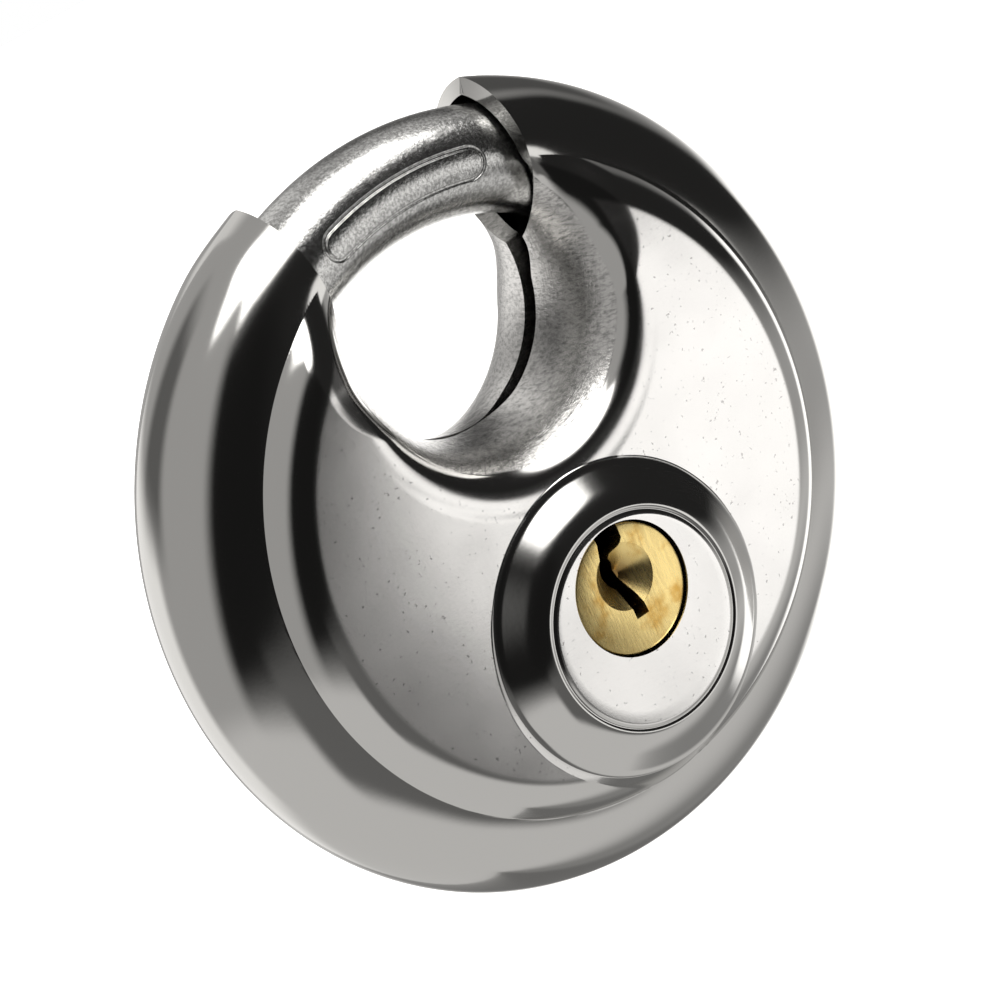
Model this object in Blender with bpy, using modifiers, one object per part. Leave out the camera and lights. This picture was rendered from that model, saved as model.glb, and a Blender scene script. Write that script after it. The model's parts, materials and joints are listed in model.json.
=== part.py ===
"""Disc padlock, 70 mm: two pressed shells, a curved shackle that swings about the
disc's centre, and a pin cylinder whose crank pin drives it.

Every group is modelled as the lock lies on a bench: local X to the right, local Y up
the face and local Z out of the front. The empty "lock" stands that up, so the front
faces -Y, and puts the origin where a staple bears on the inside of the shackle."""
import math

import bmesh
import bpy
from mathutils import Matrix

# shells
DISC_RADIUS = 0.0350          # widest circle, the weld seam
WALL = 0.0015                 # pressed steel sheet
RIM_CENTRE = 0.0280           # circle that the rim's round section follows
RIM_DEPTH = 0.0073            # height of the rim's crest above the mid-plane
FACE_DEPTH = 0.0105           # height of the flat face above the mid-plane
FACE_RADIUS = 0.0248          # edge of the flat face
SHOULDER = 0.0028             # width of the step from the flat face down to the rim
SEAM_GAP = 0.0003             # slit between the two shells at the mid-plane
EDGE_ROUND = 0.0006           # soft corner where the face turns down
CREASE = 0.0004               # rise and set-back of the crease at the shoulder's foot
RIM_SIDES = 48                # facets round the disc

# hole for the staple and the opening in the rim
HOLE_HEIGHT = 0.0165          # hole centre above the disc's centre
HOLE_RADIUS = 0.0106          # at the mid-plane
HOLE_FLARE = 0.0048           # how far the mouth widens by the time it meets the face
OPENING_ANGLE = 20.7          # degrees from the top to each cut, at the seam
OPENING_LEAN = 7.0            # degrees that each cut leans outwards

# boss round the cylinder
BOSS_HEIGHT = 0.0025          # above the flat face
BOSS_DROP = 0.0124            # boss centre below the disc's centre
BOSS_TOP_RADIUS = 0.0088
BOSS_FOOT_RADIUS = 0.0136

# shackle
SHACKLE_BAR = 0.0094          # bar diameter
CHANNEL_CLEARANCE = 0.0006    # round the bar where it passes the hole's wall
SHACKLE_CLOSED_ANGLE = 36.5   # free end, degrees clockwise from the top
SHACKLE_TAIL_ANGLE = -115.0   # hidden end
TIP_CHAMFER = 1.6             # degrees of arc
TIP_SHARE = 0.82              # bar radius left at the tip's end
LAP_FLAT = 0.0026             # depth behind the mid-plane of the flat milled on the tail
LAP_LENGTH = 0.0115

# carrier plate, post and crank
PLATE_THICK = 0.0016
PLATE_ANGLE = -107.0          # direction of the arm that holds the shackle
PLATE_REACH = 0.0300          # from the post to the end of the arm
FORK_REACH = 0.0092
FORK_WALL = 0.0016
POST_RADIUS = 0.0015
POST_END = 0.0079             # rear end, behind the mid-plane
RIVET_RADIUS = 0.0009
CRANK_RADIUS = 0.00495        # crank pin from the plug's axis
CRANK_PIN_RADIUS = 0.0010
SLOT_PLAY = 0.0007            # each side, because a turning pin does not pull evenly
PLUG_TURN = 90.0              # degrees of key turn

# cylinder
PLUG_DROP = 0.00946           # plug axis below the disc's centre
PLUG_RADIUS = 0.0056
PLUG_RECESS = 0.0003          # plug face below the top of the boss
PLUG_HOLE_PLAY = 0.00035      # slit round the plug in the boss
PIN_COUNT = 5
PIN_PITCH = 0.0023
PIN_RADIUS = 0.0008
DRIVER_LENGTH = 0.0022
KEY_PIN_LENGTH = 0.0024
CHAMBER_DEPTH = 0.0059        # from the plug's surface to the spring cover
COVER_THICK = 0.0006
BLOCK_HALF_WIDTH = 0.0030
HOUSING_WALL = 0.00155
HOUSING_REAR = 0.0015         # housing's rear face, behind the mid-plane
CAM_THICK = 0.0008
SPRING_WIRE = 0.00013
SPRING_TURNS = 3

# fits
GAP = 0.0003                  # between pieces that rest on each other
FIT = 0.0002                  # radial, for turned pieces
PAST = 0.0010                 # how far a cutter runs past what it cuts

BAR_RADIUS = SHACKLE_BAR / 2
SHACKLE_INNER = RIM_CENTRE - BAR_RADIUS
BOSS_TOP = FACE_DEPTH + BOSS_HEIGHT
PLUG_FACE = BOSS_TOP - PLUG_RECESS
CRANK_SHARE = CRANK_RADIUS / PLUG_DROP
FORK_ANGLE = math.degrees(math.atan2(
    CRANK_SHARE * math.sin(math.radians(PLUG_TURN / 2)),
    1 - CRANK_SHARE * math.cos(math.radians(PLUG_TURN / 2))))
PLATE_FRONT = -LAP_FLAT - GAP
PLATE_REAR = PLATE_FRONT - PLATE_THICK
BORE_RADIUS = PLUG_RADIUS + FIT
CHAMBER_RADIUS = PIN_RADIUS + FIT * 0.75
BLOCK_BOTTOM = -PLUG_DROP - PLUG_RADIUS - CHAMBER_DEPTH - COVER_THICK

for old in list(bpy.data.objects):
    bpy.data.objects.remove(old, do_unlink=True)

parts = bpy.data.collections.new("disc_padlock")
cutters = bpy.data.collections.new("cutters")
for group in (parts, cutters):
    bpy.context.scene.collection.children.link(group)


def material(name, colour, roughness, metallic=1.0):
    made = bpy.data.materials.new(name)
    made.use_nodes = True
    shader = made.node_tree.nodes["Principled BSDF"]
    shader.inputs["Base Color"].default_value = (*colour, 1.0)
    shader.inputs["Roughness"].default_value = roughness
    shader.inputs["Metallic"].default_value = metallic
    return made


POLISHED = material("polished_stainless", (0.62, 0.61, 0.59), 0.12)
HARDENED = material("hardened_steel", (0.56, 0.56, 0.55), 0.28)
ZINC_STEEL = material("zinc_plated_steel", (0.50, 0.51, 0.52), 0.38)
BRASS = material("brass", (0.72, 0.52, 0.22), 0.25)
SPRING_STEEL = material("spring_steel", (0.42, 0.42, 0.43), 0.30)


def empty(name, parent=None, location=(0, 0, 0), rotation=(0, 0, 0)):
    marker = bpy.data.objects.new(name, None)
    parts.objects.link(marker)
    marker.parent = parent
    marker.location = location
    marker.rotation_euler = rotation
    return marker


LOCK = empty("lock", None, (0, 0, -SHACKLE_INNER), (math.pi / 2, 0, 0))
BACK = empty("lock_back", LOCK, rotation=(0, math.pi, 0))
SHACKLE_AXIS = empty("shackle_axis", LOCK)
PLUG_AXIS = empty("plug_axis", LOCK, (0, -PLUG_DROP, 0))


def settle(thing, name, parent, finish, location=(0, 0, 0), rotation=(0, 0, 0)):
    """Name a new object, hang it under its empty and file it as a part or a cutter."""
    thing.name = name
    thing.data.name = name
    for group in list(thing.users_collection):
        group.objects.unlink(thing)
    thing.parent = parent
    thing.location = location
    thing.rotation_euler = rotation
    if finish is None:
        cutters.objects.link(thing)
        thing.hide_render = True
        thing.display_type = 'WIRE'
    else:
        parts.objects.link(thing)
        thing.data.materials.append(finish)
    return thing


def turned(name, outline, parent, finish=None, steps=48, **place):
    """Solid turned about local Z from (radius, height) points, top to bottom."""
    shape = bmesh.new()
    corners = [shape.verts.new((radius, 0, height)) for radius, height in outline]
    for one, two in zip(corners, corners[1:]):
        shape.edges.new((one, two))
    mesh = bpy.data.meshes.new(name)
    shape.to_mesh(mesh)
    shape.free()
    thing = settle(bpy.data.objects.new(name, mesh), name, parent, finish, **place)
    screw = thing.modifiers.new("turn", 'SCREW')
    screw.steps = screw.render_steps = steps
    screw.use_merge_vertices = True
    screw.merge_threshold = 0.000001
    return thing


def rod(name, radius, low, high, parent, finish=None, sides=24, along='Z', at=(0, 0)):
    """Round rod along local Z from low to high, or along local Y when asked."""
    bpy.ops.mesh.primitive_cylinder_add(vertices=sides, radius=radius, depth=high - low)
    thing = bpy.context.object
    middle = (high + low) / 2
    if along == 'Y':
        thing.data.transform(Matrix.Rotation(math.pi / 2, 4, 'X'))
        place = (at[0], middle, at[1])
    else:
        place = (at[0], at[1], middle)
    thing.data.shade_smooth()
    thing.data.set_sharp_from_angle(angle=math.radians(40))
    return settle(thing, name, parent, finish, place)


def block(name, low, high, parent, finish=None, turn=0.0, centre=None):
    """Box between two corners, or of that size about a centre and turned about Z."""
    bpy.ops.mesh.primitive_cube_add(size=1)
    thing = bpy.context.object
    size = [b - a for a, b in zip(low, high)]
    thing.data.transform(Matrix.Diagonal((*size, 1)))
    middle = centre or [(a + b) / 2 for a, b in zip(low, high)]
    return settle(thing, name, parent, finish, middle, (0, 0, turn))


def flat(name, outlines, low, high, parent, finish=None):
    """Plate between two heights from closed outlines of (x, y); later ones are holes."""
    curve = bpy.data.curves.new(name, 'CURVE')
    curve.dimensions = '2D'
    curve.fill_mode = 'BOTH'
    curve.extrude = (high - low) / 2
    for outline in outlines:
        spline = curve.splines.new('POLY')
        spline.points.add(len(outline) - 1)
        for point, (x, y) in zip(spline.points, outline):
            point.co = (x, y, 0, 1)
        spline.use_cyclic_u = True
    thing = bpy.data.objects.new(name, curve)
    return settle(thing, name, parent, finish, (0, 0, (high + low) / 2))


def as_mesh(thing):
    """Swap a curve object for its mesh with the caps welded, so it can be cut."""
    bpy.context.view_layer.update()
    seen = thing.evaluated_get(bpy.context.evaluated_depsgraph_get())
    mesh = bpy.data.meshes.new_from_object(seen)
    shape = bmesh.new()
    shape.from_mesh(mesh)
    bmesh.ops.remove_doubles(shape, verts=shape.verts, dist=0.000001)
    shape.to_mesh(mesh)
    shape.free()
    mesh.shade_smooth()
    mesh.set_sharp_from_angle(angle=math.radians(40))
    name, parent, finish = thing.name, thing.parent, thing.data.materials[:]
    location, rotation = thing.location.copy(), thing.rotation_euler.copy()
    bpy.data.objects.remove(thing, do_unlink=True)
    made = bpy.data.objects.new(name, mesh)
    mesh.materials.clear()
    return settle(made, name, parent, finish[0] if finish else None, location, rotation)


def shape_with(target, tool, operation='DIFFERENCE'):
    step = target.modifiers.new(tool.name, 'BOOLEAN')
    step.operation = operation
    step.solver = 'EXACT'
    step.object = tool
    return target


def polar(radius, degrees):
    """Point at a radius and an angle clockwise from the top, seen from the front."""
    turn = math.radians(degrees)
    return radius * math.sin(turn), radius * math.cos(turn)


def circle(radius, centre=(0, 0), count=24):
    return [(centre[0] + x, centre[1] + y)
            for x, y in (polar(radius, 360 * k / count) for k in range(count))]


# ---------------------------------------------------------------- shells
def half_section(inset, foot):
    """Face, shoulder and rim of one shell, moved inwards by inset."""
    face = FACE_DEPTH - inset
    edge = FACE_RADIUS - 0.4 * inset
    width = DISC_RADIUS - RIM_CENTRE - inset
    depth = RIM_DEPTH - inset
    section = [(0, face), (edge - EDGE_ROUND, face),
               (edge + EDGE_ROUND / 2, face - EDGE_ROUND / 2),
               (edge + SHOULDER - CREASE, depth + CREASE)]
    for angle in (86, 70, 54, 38, 24, 12, 4):
        turn = math.radians(angle)
        section.append((RIM_CENTRE + width * math.cos(turn), depth * math.sin(turn)))
    return section + [(RIM_CENTRE + width, foot), (0, foot)]


def mouth_section(inset, foot, top):
    """Flared hole: a quarter ellipse from the mid-plane out to the flat face."""
    flare, depth = HOLE_FLARE - inset, FACE_DEPTH - inset
    outer = HOLE_RADIUS + HOLE_FLARE
    angles = (80, 66, 52, 38, 24, 10)
    section = [(0, top), (outer - flare * math.cos(math.radians(angles[0])), top)]
    for angle in angles:
        turn = math.radians(angle)
        section.append((outer - flare * math.cos(turn), depth * math.sin(turn)))
    return section + [(outer - flare, 0), (outer - flare, foot), (0, foot)]


def boss_section(inset, foot):
    """Flat top and an S-shaped flank, moved inwards by inset."""
    top = BOSS_TOP - inset
    spread = BOSS_FOOT_RADIUS - BOSS_TOP_RADIUS
    return [(0, top), (BOSS_TOP_RADIUS - inset, top),
            (BOSS_TOP_RADIUS + 0.35 * spread - inset, top - 0.20 * BOSS_HEIGHT),
            (BOSS_TOP_RADIUS + 0.65 * spread - inset, top - 0.60 * BOSS_HEIGHT),
            (BOSS_FOOT_RADIUS - inset, top - BOSS_HEIGHT),
            (BOSS_FOOT_RADIUS - inset, foot), (0, foot)]


def shell(name, frame):
    """One pressed half: skin less its hollow, the hole's mouth and the opening."""
    half_slit = SEAM_GAP / 2
    hole = (0, HOLE_HEIGHT, 0)
    body = turned(name, half_section(0, half_slit), frame, POLISHED, RIM_SIDES)
    hollow = turned(name + "_hollow", half_section(WALL, -PAST), frame, steps=RIM_SIDES)
    mouth_wall = turned(name + "_mouth_wall", mouth_section(WALL, -2 * PAST, FACE_DEPTH), frame,
                        steps=36, location=hole)
    shape_with(hollow, mouth_wall)
    shape_with(body, hollow)
    mouth = turned(name + "_mouth", mouth_section(0, -PAST, FACE_DEPTH + PAST), frame,
                   steps=36, location=hole)
    shape_with(body, mouth)
    corner_x, corner_y = polar(DISC_RADIUS, OPENING_ANGLE)
    lean = math.tan(math.radians(OPENING_LEAN))
    high, low = DISC_RADIUS + 3 * PAST, HOLE_HEIGHT + 0.5 * PAST
    half_high = corner_x + lean * (high - corner_y)
    half_low = corner_x + lean * (low - corner_y)
    outline = [(-half_low, low), (half_low, low), (half_high, high), (-half_high, high)]
    opening = as_mesh(flat(name + "_opening", [outline], -PAST, FACE_DEPTH + PAST, frame))
    shape_with(body, opening)
    bpy.ops.mesh.primitive_torus_add(major_radius=RIM_CENTRE, major_segments=48,
                                     minor_radius=BAR_RADIUS + CHANNEL_CLEARANCE,
                                     minor_segments=16)
    channel = settle(bpy.context.object, name + "_channel", frame, None)
    return shape_with(body, channel)


front_shell = shell("front_shell", LOCK)
back_shell = shell("back_shell", BACK)

boss_at = (0, -BOSS_DROP, 0)
boss = turned("boss", boss_section(0, FACE_DEPTH - WALL / 2), LOCK, steps=48, location=boss_at)
shape_with(front_shell, boss, 'UNION')
boss_hollow = turned("boss_hollow", boss_section(WALL, FACE_DEPTH - 2 * WALL), LOCK,
                     steps=48, location=boss_at)
shape_with(front_shell, boss_hollow)
plug_hole = rod("plug_hole", PLUG_RADIUS + PLUG_HOLE_PLAY, FACE_DEPTH - 2 * WALL,
                BOSS_TOP + PAST, LOCK, sides=48, at=(0, -PLUG_DROP))
shape_with(front_shell, plug_hole)

# ---------------------------------------------------------------- shackle
arc = bpy.data.curves.new("shackle", 'CURVE')
arc.dimensions = '3D'
arc.bevel_depth = BAR_RADIUS
arc.bevel_resolution = 6
arc.use_fill_caps = True
bend = SHACKLE_CLOSED_ANGLE - SHACKLE_TAIL_ANGLE
bend_steps = 28
angles = [SHACKLE_TAIL_ANGLE + bend * k / bend_steps for k in range(bend_steps)]
angles += [SHACKLE_CLOSED_ANGLE - TIP_CHAMFER, SHACKLE_CLOSED_ANGLE]
spine = arc.splines.new('POLY')
spine.points.add(len(angles) - 1)
for point, angle in zip(spine.points, angles):
    point.co = (*polar(RIM_CENTRE, angle), 0, 1)
spine.points[-1].radius = TIP_SHARE
shackle = as_mesh(settle(bpy.data.objects.new("shackle", arc), "shackle", SHACKLE_AXIS, HARDENED))

lap_x, lap_y = polar(RIM_CENTRE, PLATE_ANGLE)
lap = block("tail_flat", (-LAP_LENGTH / 2, -BAR_RADIUS - PAST, -BAR_RADIUS - PAST),
            (LAP_LENGTH / 2, BAR_RADIUS + PAST, -LAP_FLAT), SHACKLE_AXIS,
            turn=-math.radians(PLATE_ANGLE),
            centre=(lap_x, lap_y, -(BAR_RADIUS + PAST + LAP_FLAT) / 2))
shape_with(shackle, lap)

# ---------------------------------------------------------------- carrier plate
rivet_spread = 3.4            # degrees either side of the arm's middle
rivet_ring = RIM_CENTRE - 0.0010
arm_half, arm_root, arm_waist = 6.0, 17.0, 0.0120
rivet_spots = [polar(rivet_ring, PLATE_ANGLE + side * rivet_spread) for side in (-1, 1)]
hub = POST_RADIUS + 0.0019
slot_half = CRANK_PIN_RADIUS + FIT / 2 + SLOT_PLAY
fork_half = slot_half + FORK_WALL
fork_turn = -180.0 + FORK_ANGLE
slot_start = PLUG_DROP - CRANK_RADIUS - CRANK_PIN_RADIUS - 2 * GAP


def fork_point(along, across):
    """Point in the fork's own directions: along it, and across towards the arm."""
    ax, ay = polar(along, fork_turn)
    cx, cy = polar(across, fork_turn + 90)
    return ax + cx, ay + cy


def plate_outline():
    """Hub round the post, arm out to the shackle's tail and slotted fork."""
    start = math.degrees(math.atan2(*fork_point(0, -1)))
    stop = PLATE_ANGLE + 70
    hub_arc = [polar(hub, start + (stop - start) * k / 8) for k in range(9)]
    arm = [polar(PLATE_REACH, PLATE_ANGLE + arm_half), polar(PLATE_REACH, PLATE_ANGLE - arm_half),
           polar(arm_waist, PLATE_ANGLE - arm_root)]
    fork = [fork_point(FORK_REACH, fork_half), fork_point(FORK_REACH, slot_half),
            fork_point(slot_start, slot_half), fork_point(slot_start, -slot_half),
            fork_point(FORK_REACH, -slot_half), fork_point(FORK_REACH, -fork_half)]
    return hub_arc + arm + fork


carrier_plate = flat("carrier_plate", [plate_outline(), circle(POST_RADIUS + FIT)]
                     + [circle(RIVET_RADIUS + FIT, spot, 16) for spot in rivet_spots],
                     PLATE_REAR, PLATE_FRONT, SHACKLE_AXIS, ZINC_STEEL)
for number, spot in enumerate(rivet_spots, 1):
    head, stem_end = PLATE_REAR - 2 * GAP, 0.3 * BAR_RADIUS
    turned("carrier_rivet_%d" % number,
           [(0, stem_end), (RIVET_RADIUS, stem_end), (RIVET_RADIUS, PLATE_REAR - FIT),
            (1.4 * RIVET_RADIUS, PLATE_REAR - FIT), (1.4 * RIVET_RADIUS, head), (0, head)],
           SHACKLE_AXIS, HARDENED, 16, location=(*spot, 0))
    hole = rod("rivet_hole_%d" % number, RIVET_RADIUS + FIT, -BAR_RADIUS, stem_end + GAP,
               SHACKLE_AXIS, sides=16, at=spot)
    shape_with(shackle, hole)

# ---------------------------------------------------------------- post
post_top = 0.0023
head_radius, head_thick = POST_RADIUS + 0.0008, 0.0011
post_end = -POST_END
turned("pivot_post", [(0, post_top), (POST_RADIUS, post_top), (POST_RADIUS, post_end + head_thick),
                      (head_radius, post_end + head_thick), (head_radius, post_end),
                      (0, post_end)], LOCK, ZINC_STEEL, 24)
spacer_low, spacer_high = post_end + head_thick + GAP, PLATE_REAR - GAP
spacer_radius = head_radius + 0.0003
turned("pivot_spacer", [(POST_RADIUS + FIT, spacer_high), (spacer_radius, spacer_high),
                        (spacer_radius, spacer_low), (POST_RADIUS + FIT, spacer_low),
                        (POST_RADIUS + FIT, spacer_high)], LOCK, ZINC_STEEL, 24)

# ---------------------------------------------------------------- cylinder
pin_first = -HOUSING_REAR + CHAMBER_RADIUS + 0.00035
pin_depths = [pin_first + PIN_PITCH * k for k in range(PIN_COUNT)]
housing_front = FACE_DEPTH - WALL - GAP
block_front = pin_depths[-1] + CHAMBER_RADIUS + 0.0004
cylinder_front = max(housing_front, block_front)
plug_bottom = -PLUG_DROP - PLUG_RADIUS
lobe = POST_RADIUS + 0.0019
lobe_front = 0.0049

housing = rod("cylinder_housing", BORE_RADIUS + HOUSING_WALL, -HOUSING_REAR, housing_front,
              LOCK, BRASS, 40, at=(0, -PLUG_DROP))
pin_block = block("pin_block", (-BLOCK_HALF_WIDTH, BLOCK_BOTTOM, -HOUSING_REAR),
                  (BLOCK_HALF_WIDTH, plug_bottom + 0.0020, block_front), LOCK)
post_lobe = flat("post_lobe", [[(-lobe, -PLUG_DROP / 2)]
                 + [polar(lobe, -90 + 22.5 * k) for k in range(9)] + [(lobe, -PLUG_DROP / 2)]],
                 -HOUSING_REAR, lobe_front, LOCK)
ear_reach, ear_rear, ear_front = 0.0122, 0.0046, 0.0064
ears = block("ears", (-ear_reach, -PLUG_DROP - 0.0026, ear_rear),
             (ear_reach, -PLUG_DROP + 0.0026, ear_front), LOCK)
for extra in (pin_block, as_mesh(post_lobe), ears):
    shape_with(housing, extra, 'UNION')
bore = rod("plug_bore", BORE_RADIUS, -HOUSING_REAR - PAST, cylinder_front + PAST, LOCK,
           sides=48, at=(0, -PLUG_DROP))
post_hole = rod("post_hole", POST_RADIUS + FIT, -HOUSING_REAR - PAST, post_top + GAP, LOCK)
for hollow in (bore, post_hole):
    shape_with(housing, hollow)

screw_x, screw_radius = 0.0098, 0.0009
for number, side in enumerate((-1, 1), 1):
    spot = (side * screw_x, -PLUG_DROP)
    shape_with(housing, rod("ear_hole_%d" % number, screw_radius + FIT, ear_rear - PAST,
                            ear_front + PAST, LOCK, sides=16, at=spot))
    head_low = ear_rear - GAP - 0.0011
    turned("housing_screw_%d" % number,
           [(0, 0.0080), (screw_radius, 0.0080), (screw_radius, ear_rear - GAP),
            (2 * screw_radius, ear_rear - GAP), (1.8 * screw_radius, head_low), (0, head_low)],
           LOCK, ZINC_STEEL, 16, location=(*spot, 0))
    stud = rod("weld_stud_%d" % number, 0.0022, ear_front + GAP, housing_front, LOCK,
               ZINC_STEEL, 20, at=spot)
    shape_with(stud, rod("stud_hole_%d" % number, screw_radius + FIT, ear_front - PAST,
                         0.0080 + GAP, LOCK, sides=16, at=spot))

cover_top = BLOCK_BOTTOM + COVER_THICK
cover_half = CHAMBER_RADIUS + 0.0008
cover_rear, cover_front = -HOUSING_REAR + GAP, block_front - GAP
shape_with(housing, block("cover_groove", (-cover_half - FIT, BLOCK_BOTTOM - PAST, cover_rear - FIT),
                          (cover_half + FIT, cover_top + FIT / 2, cover_front + FIT), LOCK))
block("spring_cover", (-cover_half, BLOCK_BOTTOM, cover_rear),
      (cover_half, cover_top - FIT / 2, cover_front), LOCK, BRASS)

crescent_radius = BOSS_TOP_RADIUS - WALL - GAP
anti_drill = rod("anti_drill_plate", crescent_radius, cylinder_front + GAP,
                 BOSS_TOP - WALL - GAP, LOCK, HARDENED, 32, at=(0, -BOSS_DROP))
shape_with(anti_drill, rod("plug_clearance", PLUG_RADIUS + PLUG_HOLE_PLAY, cylinder_front,
                           BOSS_TOP, LOCK, sides=48, at=(0, -PLUG_DROP)))

# ---------------------------------------------------------------- plug
tenon = 0.0022                # radius of the plug's rear spigot, riveted to the cam
cam_front = -HOUSING_REAR - GAP
cam_rear = cam_front - CAM_THICK
plug = turned("plug", [(0, PLUG_FACE), (PLUG_RADIUS - 0.0003, PLUG_FACE),
                       (PLUG_RADIUS, PLUG_FACE - 0.0003), (PLUG_RADIUS, -HOUSING_REAR),
                       (tenon, -HOUSING_REAR), (tenon, cam_rear), (0, cam_rear)],
              PLUG_AXIS, BRASS, 40)
keyway_end = -0.0006          # rear end of the keyway
keyway_path = [(-0.0014, PLUG_RADIUS + PAST), (-0.0014, 0.0026), (-0.0006, 0.0018),
               (-0.0014, 0.0006), (-0.0002, -0.0005), (-0.0002, -0.0025),
               (0.0013, -0.0025), (0.0013, 0.0000), (0.0002, 0.0010),
               (0.0010, 0.0020), (0.0014, 0.0030), (0.0014, PLUG_RADIUS + PAST)]
shape_with(plug, as_mesh(flat("keyway", [keyway_path], keyway_end, PLUG_FACE + PAST, PLUG_AXIS)))
dish_radius, dish_depth, dish_rise = 0.0030, 0.0016, 0.0019
shape_with(plug, turned("key_dish", [(0, PLUG_FACE + PAST), (dish_radius, PLUG_FACE + PAST),
                                     (dish_radius, PLUG_FACE), (0.0006, PLUG_FACE - dish_depth),
                                     (0, PLUG_FACE - dish_depth)],
                        PLUG_AXIS, steps=32, location=(0, dish_rise, 0)))

crank_x, crank_y = polar(CRANK_RADIUS, -PLUG_TURN / 2)
cam = rod("cam_disc", CRANK_RADIUS + CRANK_PIN_RADIUS + FIT + 0.0008, cam_rear, cam_front,
          PLUG_AXIS, ZINC_STEEL, 40)
shape_with(cam, rod("tenon_hole", tenon + FIT, cam_rear - PAST, cam_front + PAST, PLUG_AXIS))
shape_with(cam, rod("crank_hole", CRANK_PIN_RADIUS + FIT, cam_rear - PAST, cam_front + PAST,
                    PLUG_AXIS, sides=20, at=(crank_x, crank_y)))
rod("crank_pin", CRANK_PIN_RADIUS, PLATE_REAR - GAP, cam_front - FIT / 2, PLUG_AXIS, HARDENED,
    20, at=(crank_x, crank_y))

# ---------------------------------------------------------------- pins and springs
key_pin_low = -PLUG_RADIUS + 0.00025
key_pin_high = key_pin_low + KEY_PIN_LENGTH
key_pin_lift = 0.0012
driver_top = plug_bottom - 0.00035
driver_low = driver_top - DRIVER_LENGTH
spring_top, spring_low = driver_low - FIT, cover_top + FIT / 2
spring_radius = PIN_RADIUS - SPRING_WIRE - 0.00005
for number, depth in enumerate(pin_depths, 1):
    shape_with(plug, rod("key_pin_bore_%d" % number, CHAMBER_RADIUS, -PLUG_RADIUS - PAST,
                         key_pin_high + key_pin_lift + GAP, PLUG_AXIS, sides=16, along='Y',
                         at=(0, depth)))
    shape_with(housing, rod("chamber_%d" % number, CHAMBER_RADIUS, cover_top - FIT,
                            plug_bottom + 0.0010, LOCK, sides=16, along='Y', at=(0, depth)))
    upright = (-math.pi / 2, 0, 0)
    turned("key_pin_%d" % number,
           [(0, key_pin_high), (PIN_RADIUS * 0.4, key_pin_high),
            (PIN_RADIUS, key_pin_high - 0.0006), (PIN_RADIUS, key_pin_low + 0.0001),
            (PIN_RADIUS * 0.8, key_pin_low), (0, key_pin_low)],
           PLUG_AXIS, BRASS, 16, location=(0, 0, depth), rotation=upright)
    turned("driver_pin_%d" % number,
           [(0, driver_top), (PIN_RADIUS * 0.8, driver_top), (PIN_RADIUS, driver_top - 0.0002),
            (PIN_RADIUS, driver_low), (0, driver_low)],
           LOCK, HARDENED, 16, location=(0, 0, depth), rotation=upright)
    coil = bpy.data.curves.new("pin_spring_%d" % number, 'CURVE')
    coil.dimensions = '3D'
    coil.bevel_depth = SPRING_WIRE
    coil.bevel_resolution = 2
    coil.use_fill_caps = True
    per_turn = 9
    steps = SPRING_TURNS * per_turn
    wire = coil.splines.new('POLY')
    wire.points.add(steps)
    rise = spring_top - spring_low - 2 * SPRING_WIRE
    for k, point in enumerate(wire.points):
        x, z = polar(spring_radius, 360 * k / per_turn)
        point.co = (x, spring_low + SPRING_WIRE + rise * k / steps, z, 1)
    settle(bpy.data.objects.new(coil.name, coil), coil.name, LOCK, SPRING_STEEL, (0, 0, depth))

# ---------------------------------------------------------------- guide rails
rail_outer = SHACKLE_INNER - 0.0009
rail_thick = 0.0015
rail_from, rail_to = 62, 150
rail_rear, rail_front = -LAP_FLAT + 0.0004, FACE_DEPTH - WALL - 0.0006
for name, side in (("guide_rail_left", -1), ("guide_rail_right", 1)):
    sweep_angles = [rail_from + (rail_to - rail_from) * k / 16 for k in range(17)]
    outer = [polar(rail_outer, side * a) for a in sweep_angles]
    inner = [polar(rail_outer - rail_thick, side * a) for a in reversed(sweep_angles)]
    flat(name, [outer + inner], rail_rear, rail_front, LOCK, ZINC_STEEL)
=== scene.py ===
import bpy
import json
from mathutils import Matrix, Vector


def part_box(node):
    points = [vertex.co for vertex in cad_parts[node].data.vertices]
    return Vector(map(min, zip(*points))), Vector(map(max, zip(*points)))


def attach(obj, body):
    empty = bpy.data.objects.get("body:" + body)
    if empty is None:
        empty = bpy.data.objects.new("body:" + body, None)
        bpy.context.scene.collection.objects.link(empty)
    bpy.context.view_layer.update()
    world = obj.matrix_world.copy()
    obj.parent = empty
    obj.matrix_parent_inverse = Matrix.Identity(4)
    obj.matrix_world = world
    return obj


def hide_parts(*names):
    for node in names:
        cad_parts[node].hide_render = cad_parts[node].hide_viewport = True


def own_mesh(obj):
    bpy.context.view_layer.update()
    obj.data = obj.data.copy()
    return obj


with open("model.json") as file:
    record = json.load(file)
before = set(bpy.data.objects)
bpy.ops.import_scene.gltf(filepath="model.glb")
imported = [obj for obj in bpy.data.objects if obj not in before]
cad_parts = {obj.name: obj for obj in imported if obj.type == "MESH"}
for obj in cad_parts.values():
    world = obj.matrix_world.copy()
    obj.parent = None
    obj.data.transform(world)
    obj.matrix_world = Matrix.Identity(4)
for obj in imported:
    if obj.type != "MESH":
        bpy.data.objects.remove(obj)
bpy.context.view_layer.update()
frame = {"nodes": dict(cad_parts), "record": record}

import json
import math

import bmesh
import bpy
import numpy as np
from mathutils import Matrix, Vector

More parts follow.
